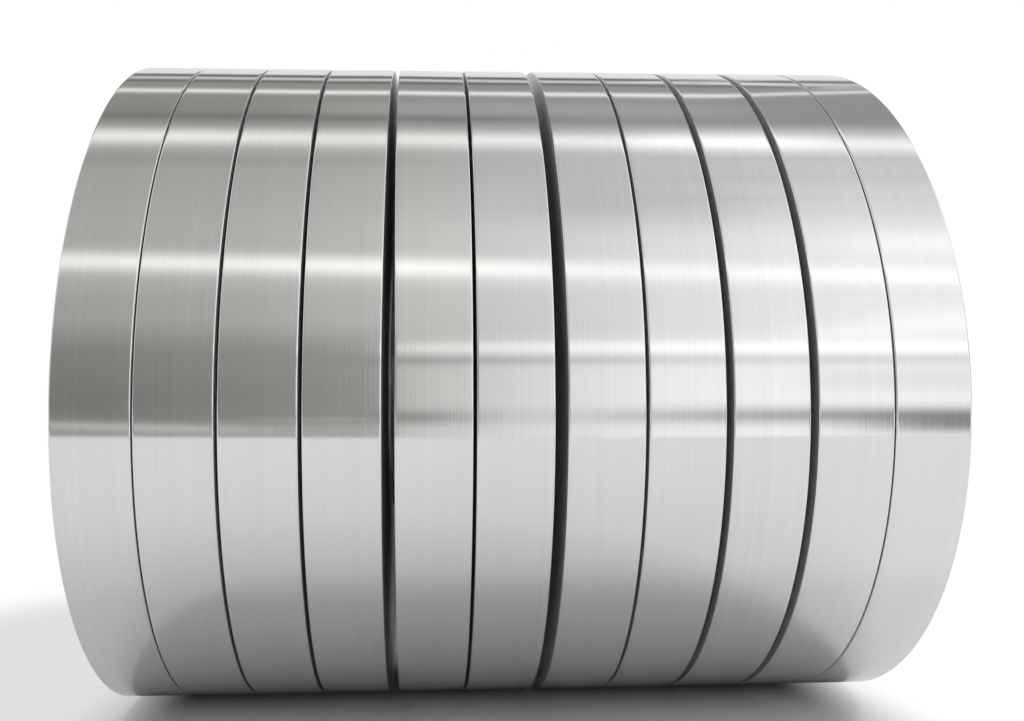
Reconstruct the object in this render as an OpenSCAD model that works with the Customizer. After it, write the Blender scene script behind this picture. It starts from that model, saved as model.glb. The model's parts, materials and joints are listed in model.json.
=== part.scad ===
// A slit coil of bright aluminium strip: one wide coil cut into narrow strip coils
// that stand side by side on the floor with their eyes level and in line.
// Lengths in millimetres, +Z up, the coils' common axis along X.
// The origin is on the floor, below the middle of the set.

/* [Coil] */
// Outside diameter over the last lap
coil_od = 1130; // [900:5:1400]
// Bore of the eye, which takes a winding mandrel
eye_bore = 508; // [300:1:610]
// Width of each slit strip
strip_w = 105; // [60:1:160]
// Thickness of the strip, and so the step at its free end
strip_t = 1; // [0.5:0.1:2]
// Direction of the free end, turned from the bottom of the coil towards the back
tail_angle = 55; // [20:1:80]

/* [Set] */
// Widest gap between two neighbouring coils
widest_gap = 17; // [6:0.5:40]

/* [Slit ends] */
// Laps from one of the grooves that mark the turns to the next
laps_per_groove = 12; // [10:1:24]
// Depth of those grooves
groove_depth = 0.8; // [0.3:0.1:1.6]
// Width of those grooves
groove_w = 2.4; // [1:0.1:3]
// Break of the slit edge at each rim
edge_break = 2; // [0.5:0.1:4]

/* [Hidden] */
// Each gap, from the left coil to the right one, as a share of the widest
gap_shares = [0.12, 0.25, 0.29, 1, 0.27, 1, 0.25, 0.58, 0.64, 0.12];
coil_count = len(gap_shares) + 1;
coil_r = coil_od / 2;
eye_r = eye_bore / 2;
groove_pitch = laps_per_groove * strip_t;
groove_count = floor((coil_r - eye_r) / groove_pitch) - 1;
// How far a cut runs past the face that it opens
cut_over = 5;
half_turn = 180;
$fn = 180;

// Sum of the first n entries of a list
function sum_of(list, n) = n == 0 ? 0 : list[n - 1] + sum_of(list, n - 1);

set_l = coil_count * strip_w + widest_gap * sum_of(gap_shares, len(gap_shares));

// Left face of a coil, counted from 0 at the left end of the set
function left_face(i) = i * strip_w + widest_gap * sum_of(gap_shares, i) - set_l / 2;

// Half section of the wound strip out to a radius, with both slit edges broken.
// It starts one lap inside the eye, which is bored afterwards.
module lap_section(r) {
    polygon([
        [eye_r - strip_t, 0], [r - edge_break, 0], [r, edge_break],
        [r, strip_w - edge_break], [r - edge_break, strip_w], [eye_r - strip_t, strip_w]
    ]);
}

// The wound body as a spiral on two centres, half a strip thickness apart.
// Each turn climbs by one thickness, so the last lap ends in a square step.
module wound_body() {
    rotate([0, 0, -half_turn])
        rotate_extrude(angle = half_turn) lap_section(coil_r);
    translate([-strip_t / 2, 0, 0])
        rotate_extrude(angle = half_turn) lap_section(coil_r - strip_t / 2);
}

// Rings of V section that mark the turns, standing ready to cut the end at z = 0
module turn_grooves() {
    rotate_extrude()
        for (k = [1 : groove_count]) translate([coil_r - k * groove_pitch, 0])
            polygon([
                [-groove_w / 2, -cut_over], [groove_w / 2, -cut_over],
                [groove_w / 2, 0], [0, groove_depth], [-groove_w / 2, 0]
            ]);
}

// One strip coil: the wound body, bored for the mandrel, with its turns on both ends
module strip_coil(i) {
    color("silver")
        translate([left_face(i), 0, coil_r]) rotate([0, 90, 0]) rotate([0, 0, tail_angle])
            difference() {
                wound_body();
                translate([0, 0, -cut_over])
                    cylinder(r = eye_r, h = strip_w + 2 * cut_over);
                turn_grooves();
                translate([0, 0, strip_w]) mirror([0, 0, 1]) turn_grooves();
            }
}

for (i = [0 : coil_count - 1])
    strip_coil(i);
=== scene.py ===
"""Dress the slit coil of bright aluminium strip: eleven wound strip coils on a pale studio floor.

Every length is in metres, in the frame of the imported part: X along the coils' common axis, Z up and
the floor at zero.
"""

from __future__ import annotations

import json
import logging
import math
from dataclasses import dataclass, field
from enum import Enum
from typing import Union

import bpy
from mathutils import Matrix, Vector


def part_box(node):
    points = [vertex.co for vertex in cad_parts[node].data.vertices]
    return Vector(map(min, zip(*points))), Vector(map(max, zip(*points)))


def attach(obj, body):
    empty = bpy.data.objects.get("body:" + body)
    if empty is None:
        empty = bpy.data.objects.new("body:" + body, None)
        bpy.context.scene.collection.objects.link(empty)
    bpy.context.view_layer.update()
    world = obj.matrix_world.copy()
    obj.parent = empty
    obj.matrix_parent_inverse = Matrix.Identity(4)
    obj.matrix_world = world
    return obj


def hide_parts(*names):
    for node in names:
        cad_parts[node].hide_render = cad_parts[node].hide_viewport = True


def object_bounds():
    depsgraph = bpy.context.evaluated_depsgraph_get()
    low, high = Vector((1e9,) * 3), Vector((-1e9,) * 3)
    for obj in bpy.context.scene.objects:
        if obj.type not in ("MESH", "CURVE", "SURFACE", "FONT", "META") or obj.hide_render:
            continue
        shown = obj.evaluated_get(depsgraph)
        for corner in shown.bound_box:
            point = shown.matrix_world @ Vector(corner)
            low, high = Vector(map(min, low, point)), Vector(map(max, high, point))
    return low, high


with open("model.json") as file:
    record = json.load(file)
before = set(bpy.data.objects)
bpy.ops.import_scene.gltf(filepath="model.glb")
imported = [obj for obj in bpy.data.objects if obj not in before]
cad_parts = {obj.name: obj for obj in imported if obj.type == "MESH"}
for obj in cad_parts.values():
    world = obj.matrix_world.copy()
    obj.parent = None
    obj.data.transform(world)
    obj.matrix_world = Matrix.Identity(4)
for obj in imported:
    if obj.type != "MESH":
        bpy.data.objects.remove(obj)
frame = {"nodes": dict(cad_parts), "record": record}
CAD_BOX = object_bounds()

UV_NAME = "UVMap"
MM = 0.001
NOISE_MIDDLE = 0.5
HALF_STEP = 0.5

log = logging.getLogger("slit_coil")


class Flow:
    """A number on its way through a node tree, with ordinary arithmetic."""

    def __init__(self, bench: Bench, socket: bpy.types.NodeSocket) -> None:
        """Keep the bench that made the number and the socket that gives it."""
        self.bench = bench
        self.socket = socket

    def __add__(self, other: Feed) -> Flow:
        """Sum of two numbers."""
        return self.bench.math("ADD", self, other)

    def __radd__(self, other: Feed) -> Flow:
        """Sum of two numbers."""
        return self.bench.math("ADD", other, self)

    def __sub__(self, other: Feed) -> Flow:
        """Difference of two numbers."""
        return self.bench.math("SUBTRACT", self, other)

    def __rsub__(self, other: Feed) -> Flow:
        """Difference of two numbers."""
        return self.bench.math("SUBTRACT", other, self)

    def __mul__(self, other: Feed) -> Flow:
        """Product of two numbers."""
        return self.bench.math("MULTIPLY", self, other)

    def __rmul__(self, other: Feed) -> Flow:
        """Product of two numbers."""
        return self.bench.math("MULTIPLY", other, self)

    def __truediv__(self, other: Feed) -> Flow:
        """Quotient of two numbers."""
        return self.bench.math("DIVIDE", self, other)

    def __neg__(self) -> Flow:
        """The number with its sign turned."""
        return self.bench.math("MULTIPLY", self, -1.0)


Feed = Union[Flow, float, int]


class Bench:
    """A node tree being wired, with short calls for what the trees here need."""

    def __init__(self, tree: bpy.types.NodeTree) -> None:
        """Take over a tree and clear it."""
        self.tree = tree
        tree.nodes.clear()

    def node(self, kind: str, **settings: object) -> bpy.types.Node:
        """Add a node.

        Args:
            kind: Blender's name of the node type.
            settings: Properties to set on it.

        Returns:
            The new node.
        """
        node = self.tree.nodes.new(kind)
        for name, value in settings.items():
            setattr(node, name, value)
        return node

    def feed(self, socket: bpy.types.NodeSocket, value: object) -> None:
        """Link a flow or another socket to an input, or set the input to a constant.

        Args:
            socket: The input.
            value: A Flow, an output socket or a constant.
        """
        if isinstance(value, Flow):
            value = value.socket
        if isinstance(value, bpy.types.NodeSocket):
            self.tree.links.new(value, socket)
        else:
            socket.default_value = value

    def math(self, operation: str, *values: Feed) -> Flow:
        """Work out one step of arithmetic.

        Args:
            operation: Blender's name of the operation.
            values: Its one to three numbers.

        Returns:
            The result.
        """
        node = self.node("ShaderNodeMath", operation=operation)
        for socket, value in zip(node.inputs, values):
            self.feed(socket, value)
        return Flow(self, node.outputs[0])

    def ease(self, value: Feed, low: Feed, high: Feed) -> Flow:
        """Smooth step of a value, from 0 at low to 1 at high.

        Args:
            value: The number to ease.
            low: Where the step starts.
            high: Where it ends.

        Returns:
            The eased share.
        """
        node = self.node("ShaderNodeMapRange", interpolation_type="SMOOTHSTEP")
        for name, feed in (("Value", value), ("From Min", low), ("From Max", high)):
            self.feed(node.inputs[name], feed)
        return Flow(self, node.outputs["Result"])

    def blend(self, start: Feed, end: Feed, share: Flow) -> Flow:
        """Straight blend of two numbers.

        Args:
            start: The number at share 0.
            end: The number at share 1.
            share: How far to go from one to the other.

        Returns:
            The blend.
        """
        node = self.node("ShaderNodeMix", data_type="FLOAT")
        for name, feed in (("Factor", share), ("A", start), ("B", end)):
            self.feed(node.inputs[name], feed)
        return Flow(self, node.outputs["Result"])

    def vector(self, x: Feed, y: Feed, z: Feed) -> bpy.types.NodeSocket:
        """Join three numbers into a vector.

        Args:
            x: The first number.
            y: The second number.
            z: The third number.

        Returns:
            The vector's socket.
        """
        node = self.node("ShaderNodeCombineXYZ")
        for socket, value in zip(node.inputs, (x, y, z)):
            self.feed(socket, value)
        return node.outputs[0]

    def parts(self, vector: bpy.types.NodeSocket) -> list[Flow]:
        """Split a vector into its numbers.

        Args:
            vector: The vector's socket.

        Returns:
            The three numbers.
        """
        node = self.node("ShaderNodeSeparateXYZ")
        self.feed(node.inputs[0], vector)
        return [Flow(self, socket) for socket in node.outputs]

    def noise(self, vector: bpy.types.NodeSocket, detail: float) -> Flow:
        """Smooth noise between about 0.2 and 0.8, with one wave per unit.

        Args:
            vector: Where to read it.
            detail: Number of finer layers.

        Returns:
            The noise.
        """
        node = self.node("ShaderNodeTexNoise")
        for name, feed in (("Vector", vector), ("Scale", 1.0), ("Detail", detail)):
            self.feed(node.inputs[name], feed)
        return Flow(self, node.outputs[0])

    def swing(self, noise: Flow, depth: float) -> Flow:
        """Noise as a change to both sides of zero, by less than the depth."""
        return (noise - NOISE_MIDDLE) * (2.0 * depth)

    def colour(self, *parts: Feed) -> bpy.types.NodeSocket:
        """Join red, green and blue into a colour.

        Args:
            parts: The three parts.

        Returns:
            The colour's socket.
        """
        node = self.node("ShaderNodeCombineColor")
        for socket, part in zip(node.inputs, parts):
            self.feed(socket, part)
        return node.outputs[0]


class Region(Enum):
    """The stretches of a coil's section that differ in finish."""

    FACE = "rolled_face"
    ENDS = "slit_ends"


@dataclass(frozen=True)
class RolledFace:
    """Bright mill finish of the strip's flat side, with fine rolling lines along the strip."""

    reflectance: float = 0.9
    tint: tuple[float, float, float] = (1.0, 0.998, 0.994)
    roughness: float = 0.1
    roughness_swing: float = 0.02
    anisotropy: float = 0.8
    line_scale: float = 430.0
    line_run: float = 0.6
    line_depth: float = 0.05
    line_detail: float = 3.0
    line_relief: float = 0.04 * MM
    cloud_scale: float = 80.0
    cloud_run: float = 1.2
    cloud_depth: float = 0.04
    cloud_detail: float = 1.0
    cloud_layer: float = 7.0

    def material(self) -> bpy.types.Material:
        """Build the finish.

        Returns:
            The material, which reads the UV map: U across the strip and V along it.
        """
        material, bench, shader = start_metal(Region.FACE.value)
        across, along, _ = bench.parts(bench.node("ShaderNodeUVMap", uv_map=UV_NAME).outputs[0])
        line_place = bench.vector(across * self.line_scale, along * self.line_run, 0.0)
        lines = bench.noise(line_place, self.line_detail)
        cloud_place = bench.vector(across * self.cloud_scale, along * self.cloud_run, self.cloud_layer)
        clouds = bench.noise(cloud_place, self.cloud_detail)
        tone = 1.0 + bench.swing(lines, self.line_depth) + bench.swing(clouds, self.cloud_depth)
        tone = tone * self.reflectance
        colour = bench.colour(*(tone * part for part in self.tint))
        bench.feed(shader.inputs["Base Color"], colour)
        bench.feed(shader.inputs["Roughness"], self.roughness + bench.swing(lines, self.roughness_swing))
        shader.inputs["Anisotropic"].default_value = self.anisotropy
        relief = bench.node("ShaderNodeBump")
        relief.inputs["Distance"].default_value = self.line_relief
        bench.feed(relief.inputs["Height"], lines)
        bench.feed(shader.inputs["Normal"], relief.outputs[0])
        return material


@dataclass(frozen=True)
class SlitEnds:
    """Matt grey of the slit edges, lap beside lap, with fine lines around the coil."""

    reflectance: float = 0.7
    metallic: float = 0.55
    roughness: float = 0.34
    roughness_swing: float = 0.1
    anisotropy: float = 0.85
    lap_scale: float = 420.0
    lap_depth: float = 0.45
    lap_detail: float = 2.0
    band_scale: float = 60.0
    band_depth: float = 0.35
    band_detail: float = 1.0
    band_layer: float = 9.0

    def material(self) -> bpy.types.Material:
        """Build the finish.

        Returns:
            The material, which reads U of the UV map, towards the eye, and the place round the coil.
        """
        material, bench, shader = start_metal(Region.ENDS.value)
        inward, _, _ = bench.parts(bench.node("ShaderNodeUVMap", uv_map=UV_NAME).outputs[0])
        _, deep, high = bench.parts(bench.node("ShaderNodeTexCoord").outputs["Object"])
        laps = bench.noise(bench.vector(inward * self.lap_scale, deep, high), self.lap_detail)
        band_place = bench.vector(inward * self.band_scale, deep + self.band_layer, high)
        bands = bench.noise(band_place, self.band_detail)
        tone = 1.0 + bench.swing(laps, self.lap_depth) + bench.swing(bands, self.band_depth)
        tone = tone * self.reflectance
        bench.feed(shader.inputs["Base Color"], bench.colour(tone, tone, tone))
        bench.feed(shader.inputs["Roughness"], self.roughness + bench.swing(bands, self.roughness_swing))
        shader.inputs["Metallic"].default_value = self.metallic
        shader.inputs["Anisotropic"].default_value = self.anisotropy
        return material


def start_metal(name: str) -> tuple[bpy.types.Material, Bench, bpy.types.Node]:
    """Start a metal whose reflections stretch across the strip.

    Args:
        name: Name of the material.

    Returns:
        The material, the bench on its tree and its shader node.
    """
    material = bpy.data.materials.new(name)
    material.use_nodes = True
    bench = Bench(material.node_tree)
    shader = bench.node("ShaderNodeBsdfPrincipled")
    shader.inputs["Metallic"].default_value = 1.0
    tangent = bench.node("ShaderNodeTangent", direction_type="UV_MAP", uv_map=UV_NAME)
    bench.feed(shader.inputs["Tangent"], tangent.outputs[0])
    output = bench.node("ShaderNodeOutputMaterial")
    bench.feed(output.inputs["Surface"], shader.outputs[0])
    return material, bench, shader


@dataclass
class CoilTree:
    """Geometry Nodes that wind one coil: a section that is swept once round from its free end.

    The section runs along the outer face with its two round rims, down the right end,
    through the eye and up the left end. Its points are counted in columns, and the comparisons
    of these whole numbers are made half a step off.
    """

    left_laps: int
    right_laps: int
    rim_steps: int = 3
    flat_steps: int = 8
    eye_steps: int = 2
    turn_steps: int = 256
    rim_margin: float = 1.5 * MM
    lap_crease: float = math.radians(4.0)
    step_crease: float = math.radians(40.0)
    beside_end: float = 0.25
    weld: float = 0.005 * MM
    finish_shift: float = 10.0
    single_share: float = 0.3
    least_share: float = 0.02
    drift_share: float = 1.3
    drift_base: float = 0.3
    drift_round: float = 0.6
    drift_waves: float = 14.0
    drift_detail: float = 2.0
    single_seeds: tuple[float, float] = (401.0, 877.0)
    drift_seeds: tuple[float, float] = (31.0, 57.0)
    inputs: dict[str, str] = field(default_factory=dict)
    group: bpy.types.NodeTree | None = None

    SIZES = (
        "Coil radius", "Eye radius", "Strip width", "Strip thickness", "Rim round", "Taper",
        "Free end angle", "Left face", "Left lean", "Right lean", "Lap wander", "Coil number",
    )

    @property
    def face_steps(self) -> int:
        """Steps across the outer face and both rims."""
        return self.flat_steps + 2 * self.rim_steps

    @property
    def all_steps(self) -> int:
        """Steps once round the section."""
        return self.face_steps + self.right_laps + self.eye_steps + self.left_laps

    def build(self) -> CoilTree:
        """Build the tree once.

        Returns:
            This tree, with a node group that has named inputs for its sizes and finishes.
        """
        group = bpy.data.node_groups.new("wound_strip_coil", "GeometryNodeTree")
        for name in self.SIZES:
            socket = group.interface.new_socket(name, in_out="INPUT", socket_type="NodeSocketFloat")
            self.inputs[name] = socket.identifier
        for region in Region:
            socket = group.interface.new_socket(
                region.value, in_out="INPUT", socket_type="NodeSocketMaterial"
            )
            self.inputs[region.value] = socket.identifier
        group.interface.new_socket("Coil", in_out="OUTPUT", socket_type="NodeSocketGeometry")
        self.group = group
        self.wire(Bench(group))
        return self

    def wire(self, bench: Bench) -> None:
        """Wire the tree from its grid to its output.

        Args:
            bench: The bench on the empty tree.
        """
        source = bench.node("NodeGroupInput")
        size = {name: Flow(bench, source.outputs[name]) for name in self.SIZES}
        rows = self.turn_steps + 2
        grid = bench.node("GeometryNodeMeshGrid")
        bench.feed(grid.inputs["Vertices X"], self.all_steps + 1)
        bench.feed(grid.inputs["Vertices Y"], rows)
        index = Flow(bench, bench.node("GeometryNodeInputIndex").outputs[0])
        column = bench.math("FLOOR", (index + HALF_STEP) / rows)
        row = index - column * rows
        # The last row returns to the first, so the lap closes with the step at its free end.
        turn = bench.math("MODULO", row + HALF_STEP, self.turn_steps + 1.0)
        turn = (turn - HALF_STEP) / self.turn_steps
        across, radius, run = self.section(bench, size, column, turn)
        angle = size["Free end angle"] + turn * math.tau
        height = radius * -bench.math("COSINE", angle)
        from_left = across / size["Strip width"] + 0.5
        raised = bench.math("MAXIMUM", height, 0.0) / size["Coil radius"]
        lean = bench.blend(size["Left lean"], size["Right lean"], from_left) * raised
        place = bench.vector(
            size["Left face"] + size["Strip width"] * 0.5 + across + lean,
            radius * bench.math("SINE", angle),
            size["Coil radius"] + height,
        )
        along = turn * size["Coil radius"] * math.tau + size["Coil number"] * self.finish_shift
        kept = bench.node("GeometryNodeCaptureAttribute", domain="POINT")
        kept.capture_items.new("VECTOR", "place")
        kept.capture_items.new("VECTOR", "uv")
        kept.capture_items.new("FLOAT", "column")
        bench.feed(kept.inputs["Geometry"], grid.outputs["Mesh"])
        bench.feed(kept.inputs["place"], place)
        bench.feed(kept.inputs["uv"], bench.vector(run, along, 0.0))
        bench.feed(kept.inputs["column"], column)
        moved = bench.node("GeometryNodeSetPosition")
        bench.feed(moved.inputs["Geometry"], kept.outputs["Geometry"])
        bench.feed(moved.inputs["Position"], kept.outputs["place"])
        mapped = bench.node("GeometryNodeStoreNamedAttribute", data_type="FLOAT2", domain="CORNER")
        bench.feed(mapped.inputs["Geometry"], moved.outputs[0])
        bench.feed(mapped.inputs["Name"], UV_NAME)
        bench.feed(mapped.inputs["Value"], kept.outputs["uv"])
        self.finish(bench, source, mapped.outputs[0], Flow(bench, kept.outputs["column"]))

    def section(
        self, bench: Bench, size: dict[str, Flow], column: Flow, turn: Flow
    ) -> tuple[Flow, Flow, Flow]:
        """Place one point of the section.

        Args:
            bench: The bench on the tree.
            size: The tree's sizes by name.
            column: Number of the point along the section.
            turn: Share of the turn, from the free end.

        Returns:
            Distance along the axis from the middle of the strip, radius, and the run along the section.
        """
        half = size["Strip width"] * 0.5
        edge = size["Rim round"]
        rim = size["Coil radius"]
        eye = size["Eye radius"]
        end_start = float(self.face_steps)
        eye_start = end_start + self.right_laps

        # The last lap climbs by one strip thickness over the first half turn.
        climb = size["Strip thickness"] * 0.5 * (1.0 + bench.math("COSINE", turn * math.tau))
        cone = bench.math("ABSOLUTE", size["Taper"]) * half
        lap = rim - cone - climb * bench.math("LESS_THAN", turn, 0.5)

        from_rim = bench.math("MINIMUM", column, end_start - column)
        bend = bench.math("MAXIMUM", 1.0 - from_rim / self.rim_steps, 0.0) * (0.5 * math.pi)
        side = bench.math("SIGN", column - 0.5 * end_start)
        # A narrow strip beside each rim keeps the face straight up to its round.
        flat = half - edge
        inner = (column - (self.rim_steps + 1.0)) / (self.flat_steps - 2.0)
        level = (flat - self.rim_margin) * (inner * 2.0 - 1.0)
        level = bench.math("MINIMUM", bench.math("MAXIMUM", level, -flat), flat)
        face_x = level + side * edge * bench.math("SINE", bend)
        face_r = lap + size["Taper"] * face_x - edge * (1.0 - bench.math("COSINE", bend))

        on_right = bench.math("LESS_THAN", column, eye_start + HALF_STEP)
        outward = on_right * 2.0 - 1.0
        ring = bench.blend(float(self.all_steps) - column, column - end_start, on_right)
        laps = bench.blend(float(self.left_laps), float(self.right_laps), on_right)
        share = bench.math("MAXIMUM", ring / laps, 0.0)
        at_rim = bench.math("LESS_THAN", ring, HALF_STEP)
        first = rim - edge - cone * 2.0 - size["Strip thickness"]
        end_r = bench.blend(first, eye, share)
        end_r = bench.blend(end_r, lap - edge + size["Taper"] * half * outward, at_rim)
        between = (1.0 - at_rim) * bench.math("LESS_THAN", ring, laps - HALF_STEP)
        end_x = (half - self.lap_sink(bench, size, ring, share, turn, on_right) * between) * outward

        eye_share = (column - eye_start) / self.eye_steps
        eye_x = half * (1.0 - eye_share * 2.0)

        on_face = bench.math("LESS_THAN", column, end_start + HALF_STEP)
        off_middle = bench.math("ABSOLUTE", column - (eye_start + 0.5 * self.eye_steps))
        in_eye = bench.math("LESS_THAN", off_middle, 0.5 * self.eye_steps - HALF_STEP)
        across = bench.blend(bench.blend(end_x, eye_x, in_eye), face_x, on_face)
        radius = bench.blend(bench.blend(end_r, eye, in_eye), face_r, on_face)

        down = rim - eye
        run_right = size["Strip width"] + share * down
        run_eye = size["Strip width"] * (1.0 + eye_share) + down
        run_left = size["Strip width"] * 2.0 + (2.0 - share) * down
        run = bench.blend(bench.blend(run_left, run_right, on_right), run_eye, in_eye)
        run = bench.blend(run, level + half + side * edge * bend, on_face)
        return across, radius, run

    def lap_sink(
        self, bench: Bench, size: dict[str, Flow], ring: Flow, share: Flow, turn: Flow, on_right: Flow
    ) -> Flow:
        """How far a lap stands back from the plane of the end: a share of its own and a slow drift.

        Args:
            bench: The bench on the tree.
            size: The tree's sizes by name.
            ring: Number of the lap, from the rim inwards.
            share: Its share of the way to the eye.
            turn: Share of the turn, from the free end.
            on_right: 1 on the right end and 0 on the left one.

        Returns:
            The depth.
        """
        single = bench.node("ShaderNodeTexWhiteNoise", noise_dimensions="1D")
        end_seed, coil_seed = self.single_seeds
        bench.feed(single.inputs["W"], ring + on_right * end_seed + size["Coil number"] * coil_seed)
        end_seed, coil_seed = self.drift_seeds
        place = bench.vector(
            bench.math("COSINE", turn * math.tau) * self.drift_round,
            bench.math("SINE", turn * math.tau) * self.drift_round,
            share * self.drift_waves + on_right * end_seed + size["Coil number"] * coil_seed,
        )
        drift = (bench.noise(place, self.drift_detail) - self.drift_base) * self.drift_share
        depth = Flow(bench, single.outputs[0]) * self.single_share + drift
        return bench.math("MAXIMUM", depth, self.least_share) * size["Lap wander"]

    def finish(
        self, bench: Bench, source: bpy.types.Node, coil: bpy.types.NodeSocket, column: Flow
    ) -> None:
        """Weld, shade and dress the swept section.

        Args:
            bench: The bench on the tree.
            source: The group's input node.
            coil: The swept section.
            column: The kept number of each point along the section.
        """
        eye_middle = self.face_steps + self.right_laps + 0.5 * self.eye_steps
        past_face = bench.math("GREATER_THAN", column, float(self.face_steps))
        off_eye = bench.math("ABSOLUTE", column - eye_middle)
        marked = bench.node("GeometryNodeCaptureAttribute", domain="FACE")
        marked.capture_items.new("FLOAT", "on_end")
        bench.feed(marked.inputs["Geometry"], coil)
        past_eye = bench.math("GREATER_THAN", off_eye, 0.5 * self.eye_steps)
        bench.feed(marked.inputs["on_end"], past_face * past_eye)
        on_end = Flow(bench, marked.outputs["on_end"])
        # The sweep leaves the faces turned to the inside of the strip.
        outward = bench.node("GeometryNodeFlipFaces")
        bench.feed(outward.inputs["Mesh"], marked.outputs["Geometry"])
        weld = bench.node("GeometryNodeMergeByDistance")
        bench.feed(weld.inputs["Geometry"], outward.outputs[0])
        bench.feed(weld.inputs["Distance"], self.weld)
        smooth = bench.node("GeometryNodeSetShadeSmooth", domain="FACE")
        bench.feed(smooth.inputs["Geometry"], weld.outputs[0])
        bend = Flow(bench, bench.node("GeometryNodeInputMeshEdgeAngle").outputs[0])
        lap_edge = bench.math("GREATER_THAN", bend, self.lap_crease)
        # An edge reads the mean of its two faces, so an edge with one face on an end counts too.
        lap_edge = lap_edge * bench.math("GREATER_THAN", on_end, self.beside_end)
        crease = bench.node("GeometryNodeSetShadeSmooth", domain="EDGE")
        bench.feed(crease.inputs["Geometry"], smooth.outputs[0])
        bench.feed(crease.inputs["Selection"], lap_edge + bench.math("GREATER_THAN", bend, self.step_crease))
        crease.inputs["Shade Smooth"].default_value = False
        real = bench.node("GeometryNodeRealizeInstances")
        bench.feed(real.inputs[0], crease.outputs[0])
        faced = bench.node("GeometryNodeSetMaterial")
        bench.feed(faced.inputs["Geometry"], real.outputs[0])
        bench.feed(faced.inputs["Material"], source.outputs[Region.FACE.value])
        ended = bench.node("GeometryNodeSetMaterial")
        bench.feed(ended.inputs["Geometry"], faced.outputs[0])
        bench.feed(ended.inputs["Selection"], on_end)
        bench.feed(ended.inputs["Material"], source.outputs[Region.ENDS.value])
        output = bench.node("NodeGroupOutput")
        bench.feed(output.inputs["Coil"], ended.outputs[0])


@dataclass
class StripCoil:
    """One strip coil of the set, wound in place of its solid."""

    node: str
    number: int
    eye_radius: float
    taper: float
    leans: tuple[float, float]
    strip_thickness: float = 1.0 * MM
    rim_round: float = 1.6 * MM
    free_end_angle: float = math.radians(55.0)
    lap_wander: float = 1.0 * MM
    left: float = 0.0
    width: float = 0.0
    radius: float = 0.0

    def __post_init__(self) -> None:
        """Read the coil's place and size from its solid."""
        low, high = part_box(self.node)
        self.left = low[0]
        self.width = high[0] - low[0]
        self.radius = -low[1]

    def wind(self, tree: CoilTree, finishes: dict[Region, bpy.types.Material]) -> bpy.types.Object:
        """Wind the coil and put it in place of its solid.

        Args:
            tree: The node group that winds coils.
            finishes: The material of each region.

        Returns:
            The finished piece, as a plain mesh.
        """
        sizes = (
            self.radius, self.eye_radius, self.width, self.strip_thickness, self.rim_round, self.taper,
            self.free_end_angle, self.left, *self.leans, self.lap_wander, float(self.number),
        )
        piece = bpy.data.objects.new(f"wound_{self.node}", bpy.data.meshes.new("blank"))
        bpy.context.scene.collection.objects.link(piece)
        winding = piece.modifiers.new("winding", "NODES")
        winding.node_group = tree.group
        for name, value in zip(CoilTree.SIZES, sizes):
            winding[tree.inputs[name]] = value
        for region, material in finishes.items():
            winding[tree.inputs[region.value]] = material
        depsgraph = bpy.context.evaluated_depsgraph_get()
        mesh = bpy.data.meshes.new_from_object(
            piece.evaluated_get(depsgraph), preserve_all_data_layers=True, depsgraph=depsgraph
        )
        piece.modifiers.remove(winding)
        piece.data = mesh
        mesh.name = piece.name
        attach(piece, "root")
        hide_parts(self.node)
        return piece


@dataclass
class CoilSet:
    """The coils side by side, each wound a little conical, with every lap of the outer ends shown.

    The ends on both sides of the first wide gap lean towards each other at the top.
    """

    eye_radius: float
    end_laps: int = 280
    inner_laps: int = 48
    tapers: tuple[float, ...] = (
        0.001, -0.0015, 0.001, 0.006, -0.006, -0.001, 0.0015, -0.001, 0.002, -0.0015, 0.001,
    )
    leans: dict[int, tuple[float, float]] = field(
        default_factory=lambda: {4: (0.0, 3.0 * MM), 5: (-6.0 * MM, 0.0)}
    )

    def build(self, finishes: dict[Region, bpy.types.Material]) -> None:
        """Wind every coil of the set.

        Args:
            finishes: The material of each region.
        """
        nodes = sorted(frame["nodes"])
        inner = CoilTree(self.inner_laps, self.inner_laps).build()
        trees = [inner] * len(nodes)
        trees[0] = CoilTree(self.end_laps, self.inner_laps).build()
        trees[-1] = CoilTree(self.inner_laps, self.end_laps).build()
        for number, (node, tree, taper) in enumerate(zip(nodes, trees, self.tapers), start=1):
            leans = self.leans.get(number, (0.0, 0.0))
            piece = StripCoil(node, number, self.eye_radius, taper, leans).wind(tree, finishes)
            log.info("%s: %d faces", piece.name, len(piece.data.polygons))


@dataclass(frozen=True)
class StudioBand:
    """A long lamp or flag that runs along the coils, seen in the metal as a level band.

    The elevation is counted round the coils' axis: 0 in front, 90 overhead and 180 behind.
    The tilt is the change of elevation towards the right. The band fades in and out between two sides
    each, where -1 is far left and 1 far right.
    """

    elevation: float
    half_width: float
    strength: float
    tilt: float = 0.0
    fade_in: tuple[float, float] = (-3.0, -2.0)
    fade_out: tuple[float, float] = (2.0, 3.0)


@dataclass(frozen=True)
class StudioLamp:
    """A long lamp far above the floor that faces the middle of the set."""

    name: str
    place: tuple[float, float, float]
    length: float
    width: float
    power: float


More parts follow.
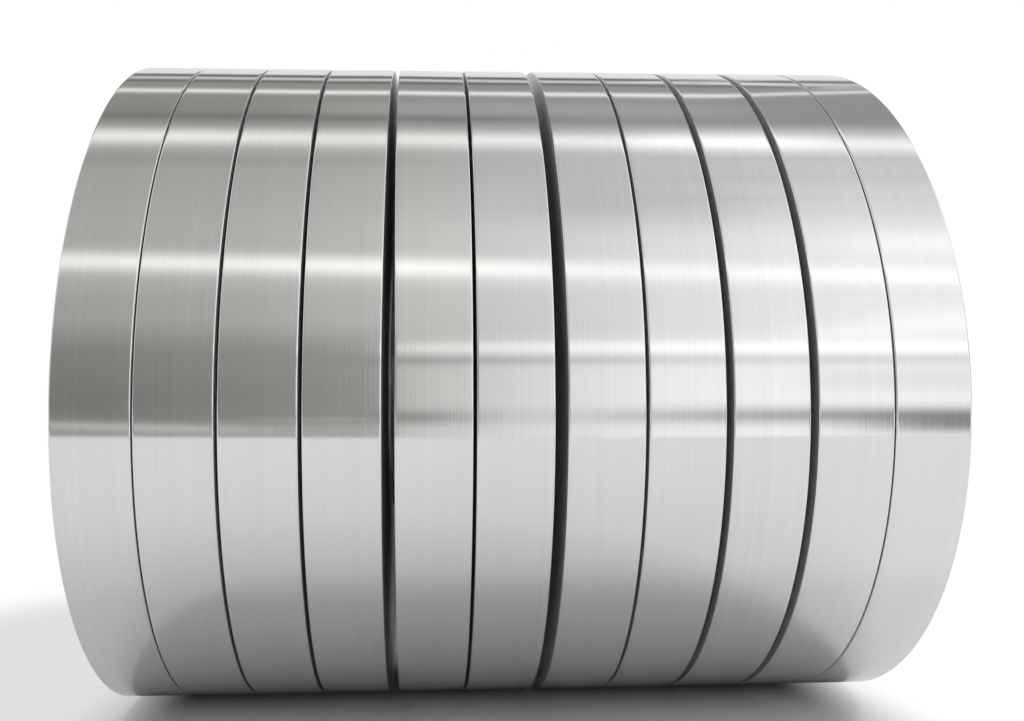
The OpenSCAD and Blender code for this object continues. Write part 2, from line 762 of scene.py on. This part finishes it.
@dataclass
class Studio:
    """The floor, the lamps above it and the soft surroundings."""

    floor_albedo: float = 0.87
    sky: float = 1.06
    sky_left_loss: float = 0.8
    sky_power: float = 1.15
    front_light: float = 0.1
    lamps: tuple[StudioLamp, ...] = (
        StudioLamp("left_lamp", (-3.7, -1.35, 7.2), 1.5, 0.5, 60.0),
        StudioLamp("right_lamp", (5.9, -0.4, 5.6), 3.0, 1.5, 160.0),
    )
    paper_front: float = -1.355
    paper_slant: float = 0.071
    paper_reach: float = 30.0
    glow_centre: tuple[float, float] = (0.0, -0.25)
    glow_right: float = 0.68
    glow_back: float = 2.3
    glow_start: float = 0.72
    # Painted shadow on the floor left of the set, seen by the camera alone: where it starts, its grey, and
    # where it has faded to white.
    painted_shadow_left: float = 0.72
    painted_shadow_level: float = 0.74
    white_left: float = 1.75
    edge_fade: tuple[float, float] = (0.05, 0.5)
    bands: tuple[StudioBand, ...] = (
        StudioBand(29.6, 3.3, 0.26, -6.0),
        StudioBand(29.6, 3.3, 0.28, -6.0, fade_out=(-0.05, 0.25)),
        StudioBand(25.5, 5.0, 0.05, fade_out=(0.1, 0.3)),
        StudioBand(83.5, 4.4, 0.5, -2.0),
        StudioBand(84.0, 3.5, 0.1, fade_out=(-0.25, -0.1)),
        StudioBand(84.0, 5.0, 0.22, fade_in=(0.2, 0.26), fade_out=(0.36, 0.42)),
        StudioBand(114.9, 1.8, 0.64, fade_out=(0.3, 0.34)),
        StudioBand(102.4, 1.6, 0.5, 42.0, fade_in=(0.3, 0.34)),
        StudioBand(125.5, 1.5, -0.16),
        StudioBand(129.1, 1.3, 0.42),
        StudioBand(133.9, 1.5, -0.34),
        StudioBand(121.2, 1.2, 0.3, 40.0, fade_in=(0.2, 0.24), fade_out=(0.32, 0.36)),
        StudioBand(140.5, 1.2, 0.3, -35.0, fade_in=(0.28, 0.3), fade_out=(0.4, 0.44)),
        StudioBand(112.4, 1.2, 0.3, 30.0, fade_in=(0.38, 0.4)),
        StudioBand(102.5, 6.0, 0.09, fade_in=(-0.2, -0.05), fade_out=(0.25, 0.4)),
        StudioBand(54.0, 10.0, -0.09, fade_in=(0.1, 0.17), fade_out=(0.3, 0.4)),
        StudioBand(39.0, 5.0, 0.16, fade_in=(0.4, 0.47)),
        StudioBand(11.0, 5.0, 0.17, fade_in=(0.445, 0.465)),
        StudioBand(7.0, 3.0, 0.16, fade_in=(0.37, 0.4), fade_out=(0.45, 0.46)),
        StudioBand(-9.0, 4.5, -0.14, fade_in=(0.37, 0.41)),
        StudioBand(-22.0, 4.0, -0.09, fade_in=(0.445, 0.465)),
        StudioBand(95.9, 2.0, -0.08, fade_out=(0.05, 0.2)),
        StudioBand(72.3, 2.5, -0.05, fade_out=(-0.1, 0.1)),
        StudioBand(73.2, 0.5, -0.08, 4.0, fade_in=(0.2, 0.35)),
        StudioBand(63.8, 0.5, -0.08, 4.0, fade_in=(0.2, 0.35)),
        StudioBand(55.4, 0.5, -0.07, 4.0, fade_in=(0.2, 0.35)),
        StudioBand(2.1, 1.8, 0.25, fade_in=(-0.05, -0.03)),
        StudioBand(-2.1, 1.6, -0.2, fade_in=(-0.05, -0.03)),
        StudioBand(-20.8, 2.6, -0.3, fade_in=(-0.05, -0.03), fade_out=(0.02, 0.1)),
        StudioBand(-20.8, 2.7, -0.6, fade_in=(0.05, 0.42)),
        StudioBand(-24.8, 2.6, -0.6, fade_in=(0.4, 0.49)),
        StudioBand(-26.9, 1.2, 0.26, -12.0, fade_out=(-0.3, -0.1)),
        StudioBand(-21.2, 0.5, 0.13, fade_in=(-0.2, -0.15), fade_out=(-0.07, -0.05)),
    )
    left_wall: tuple[tuple[float, float], ...] = (
        (-180.0, 0.4), (-66.0, 0.38), (-23.5, 0.31), (-21.5, 0.21), (-14.0, 0.2), (-1.0, 0.23), (14.0, 0.38),
        (42.0, 0.43), (69.0, 0.39), (98.5, 0.27), (132.0, 0.3), (138.0, 0.8),
    )
    right_wall: tuple[tuple[float, float], ...] = (
        (-180.0, 0.6), (-66.0, 0.8), (-16.0, 1.0), (14.0, 0.92), (39.0, 0.92), (56.0, 0.74), (69.0, 0.64),
        (89.5, 0.48), (95.0, 0.3), (132.0, 0.32), (138.0, 0.8),
    )
    wall_blend: tuple[float, float] = (-0.35, 0.55)
    low_blend: tuple[float, float] = (-0.35, 0.4)
    flag_top: tuple[float, float] = (2.0, 10.0)
    flag_edge: tuple[float, float] = (-0.05, -0.03)
    flag_glow: float = 0.28
    flag_glow_start: float = -0.34
    darkest: float = 0.03
    panel_rise: tuple[float, float] = (0.55, 0.68)
    panel_fall: tuple[float, float] = (0.74, 0.86)
    left_panel: float = 1.0
    right_panel: float = 1.1
    end_level: float = 0.12
    end_rise: float = 0.7
    end_wall_share: float = 0.5
    warmth: tuple[float, float, float] = (0.0, 0.02, 0.06)
    warm_fade: tuple[float, float] = (-0.2, 0.3)

    def build(self) -> None:
        """Lay the floor, hang the lamps and light the room."""
        self.lay_floor()
        self.hang_lamps()
        self.light_room()

    def hang_lamps(self) -> None:
        """Hang the lamps on both sides of the set, which draw the edges of its shadow on the floor."""
        for lamp in self.lamps:
            data = bpy.data.lights.new(lamp.name, "AREA")
            data.shape = "RECTANGLE"
            data.size = lamp.length
            data.size_y = lamp.width
            data.energy = lamp.power
            hung = bpy.data.objects.new(lamp.name, data)
            hung.location = lamp.place
            hung.rotation_euler = (-Vector(lamp.place)).to_track_quat("-Z", "Y").to_euler()
            hung.visible_glossy = False
            bpy.context.scene.collection.objects.link(hung)

    def lay_floor(self) -> None:
        """Lay a pale paper floor that ends in front, where the metal mirrors the room beyond it. The camera
        sees it glow white away from the set, and pale grey left of the set as a painted shadow.
        """
        reach = self.paper_reach
        front = self.paper_front
        corners = [
            (-reach, front - reach * self.paper_slant, 0.0), (0.0, front, 0.0), (reach, front, 0.0),
            (reach, reach, 0.0), (-reach, reach, 0.0),
        ]
        mesh = bpy.data.meshes.new("floor")
        mesh.from_pydata(corners, [], [(0, 1, 2, 3, 4)])
        floor = bpy.data.objects.new("floor", mesh)
        bpy.context.scene.collection.objects.link(floor)
        material = bpy.data.materials.new("pale_floor")
        material.use_nodes = True
        bench = Bench(material.node_tree)
        x, y, _ = bench.parts(bench.node("ShaderNodeTexCoord").outputs["Object"])
        off = x - self.glow_centre[0]
        deep = (y - self.glow_centre[1]) / self.glow_back
        fade = 1.0 - bench.ease(y, front + self.edge_fade[0], front + self.edge_fade[1])
        shares = []
        for left in (self.painted_shadow_left, self.white_left):
            across = bench.math("MAXIMUM", off / self.glow_right, off / -left)
            far = bench.math("SQRT", across * across + deep * deep)
            shares.append(bench.math("MAXIMUM", bench.ease(far, self.glow_start, 1.0), fade))
        seen = Flow(bench, bench.node("ShaderNodeLightPath").outputs["Is Camera Ray"])
        paper = bench.node("ShaderNodeBsdfDiffuse")
        paper.inputs["Color"].default_value = (self.floor_albedo,) * 3 + (1.0,)
        # Painted shadow: left of the set the floor glows pale grey instead of white, for camera rays only.
        white_and_painted_shadow = bench.node("ShaderNodeEmission")
        bench.feed(white_and_painted_shadow.inputs["Strength"], bench.blend(self.painted_shadow_level, 1.0, shares[1]))
        mix = bench.node("ShaderNodeMixShader")
        for socket, value in zip(mix.inputs, (shares[0] * seen, paper.outputs[0], white_and_painted_shadow.outputs[0])):
            bench.feed(socket, value)
        output = bench.node("ShaderNodeOutputMaterial")
        bench.feed(output.inputs["Surface"], mix.outputs[0])
        mesh.materials.append(material)

    @staticmethod
    def turn_share(elevation: Feed) -> Feed:
        """Place of an elevation in degrees, from 0 at -180 to 1 at 180."""
        return (elevation + 180.0) / 360.0

    def ramp(self, bench: Bench, elevation: Flow, stops: tuple[tuple[float, float], ...]) -> Flow:
        """Brightness of a wall by elevation.

        Args:
            bench: The bench on the world's tree.
            elevation: Elevation in degrees, from -180 to 180.
            stops: Pairs of elevation and brightness.

        Returns:
            The brightness.
        """
        node = bench.node("ShaderNodeValToRGB")
        bench.feed(node.inputs[0], self.turn_share(elevation))
        node.color_ramp.interpolation = "EASE"
        points = node.color_ramp.elements
        while len(points) < len(stops):
            points.new(self.turn_share(0.0))
        for point, (place, level) in zip(points, stops):
            point.position = self.turn_share(place)
            point.color = (level, level, level, 1.0)
        return Flow(bench, node.outputs[0])

    def light_room(self) -> None:
        """Surround the coils with soft walls and level bands; the eye sees plain white instead."""
        world = bpy.data.worlds.new("studio")
        world.use_nodes = True
        bpy.context.scene.world = world
        bench = Bench(world.node_tree)
        x, y, z = bench.parts(bench.node("ShaderNodeTexCoord").outputs["Generated"])
        elevation = bench.math("ARCTAN2", z, -y) * math.degrees(1.0)
        left = self.ramp(bench, elevation, self.left_wall)
        right = self.ramp(bench, elevation, self.right_wall)
        room = bench.blend(left, right, bench.ease(x, *self.wall_blend))
        lit = bench.blend(left, right, bench.ease(x, *self.low_blend))
        low = 1.0 - bench.ease(elevation, *self.flag_top)
        beside = bench.ease(x, *self.flag_edge)
        shade = left + bench.math("MAXIMUM", x - self.flag_glow_start, 0.0) * self.flag_glow
        room = bench.blend(room, bench.blend(shade, lit, beside), low)
        for band in self.bands:
            off = (elevation - (x * band.tilt + band.elevation)) / band.half_width
            shape = bench.math("POWER", math.e, -(off * off)) * bench.ease(x, *band.fade_in)
            room = room + shape * band.strength * (1.0 - bench.ease(x, *band.fade_out))
        room = bench.math("MAXIMUM", room, self.darkest)
        aside = bench.ease(bench.math("ABSOLUTE", x), *self.panel_fall)
        ends = left * self.end_wall_share + self.end_level + z * self.end_rise
        room = bench.blend(room, ends, aside)
        for side, level in ((-1.0, self.left_panel), (1.0, self.right_panel)):
            room = bench.blend(room, level, bench.ease(x * side, *self.panel_rise) * (1.0 - aside))
        warm = 1.0 - bench.ease(x, *self.warm_fade)
        rays = bench.node("ShaderNodeLightPath")
        soft = bench.math("GREATER_THAN", Flow(bench, rays.outputs["Diffuse Depth"]), 0.5)
        seen = Flow(bench, rays.outputs["Is Camera Ray"])
        above = bench.math("POWER", bench.math("MAXIMUM", z, 0.0), self.sky_power)
        above = above * self.sky * (1.0 - bench.math("MAXIMUM", -x, 0.0) * self.sky_left_loss)
        above = above + bench.math("MAXIMUM", -y, 0.0) * self.front_light
        levels = [bench.blend(room * (1.0 - warm * loss), above, soft) for loss in self.warmth]
        colour = bench.colour(*(bench.blend(level, 1.0, seen) for level in levels))
        light = bench.node("ShaderNodeBackground")
        bench.feed(light.inputs["Color"], colour)
        output = bench.node("ShaderNodeOutputWorld")
        bench.feed(output.inputs["Surface"], light.outputs[0])


@dataclass
class Viewpoint:
    """The camera at the photograph's viewing angle, lowered round the coils' axis."""

    image_width: float = 1024.0
    image_height: float = 721.0
    focal_pixels: float = 918.4
    sight_pixel: tuple[float, float] = (467.55, 269.23)
    from_left_end: float = 0.48837
    distance: float = 1.7903
    axis_height: float = 0.565
    lowered: float = math.radians(5.0)
    yaw: float = math.radians(-2.673)
    pitch: float = math.radians(6.214)
    roll: float = math.radians(0.209)
    sensor: float = 36.0

    def place(self) -> bpy.types.Object:
        """Create the camera and make it the scene's.

        Returns:
            The camera.
        """
        data = bpy.data.cameras.new("viewpoint")
        data.sensor_fit = "HORIZONTAL"
        data.sensor_width = self.sensor
        data.lens = self.focal_pixels / self.image_width * self.sensor
        data.shift_x = (0.5 * self.image_width - self.sight_pixel[0]) / self.image_width
        data.shift_y = (self.sight_pixel[1] - 0.5 * self.image_height) / self.image_width
        camera = bpy.data.objects.new("viewpoint", data)
        turned = (
            Matrix.Rotation(self.yaw, 4, "Z")
            @ Matrix.Rotation(self.pitch, 4, "X")
            @ Matrix.Rotation(self.roll, 4, "Y")
            @ Matrix.Rotation(math.radians(90.0), 4, "X")
        )
        axis = Matrix.Translation((CAD_BOX[0][0] + self.from_left_end, 0.0, self.axis_height))
        away = Matrix.Translation((0.0, -self.distance, 0.0))
        camera.matrix_world = axis @ Matrix.Rotation(self.lowered, 4, "X") @ away @ turned
        bpy.context.scene.collection.objects.link(camera)
        bpy.context.scene.camera = camera
        return camera


def main() -> None:
    """Wind every coil, then set up the studio and the camera."""
    logging.basicConfig(level=logging.INFO, format="%(message)s")
    bpy.context.scene.view_settings.view_transform = "Standard"
    finishes = {Region.FACE: RolledFace().material(), Region.ENDS: SlitEnds().material()}
    eye = next(mount for mount in frame["record"]["mounts"] if mount["name"] == "eye")
    CoilSet(eye["dims"]["r_mm"] * MM).build(finishes)
    Studio().build()
    Viewpoint().place()


if __name__ == "__main__":
    main()
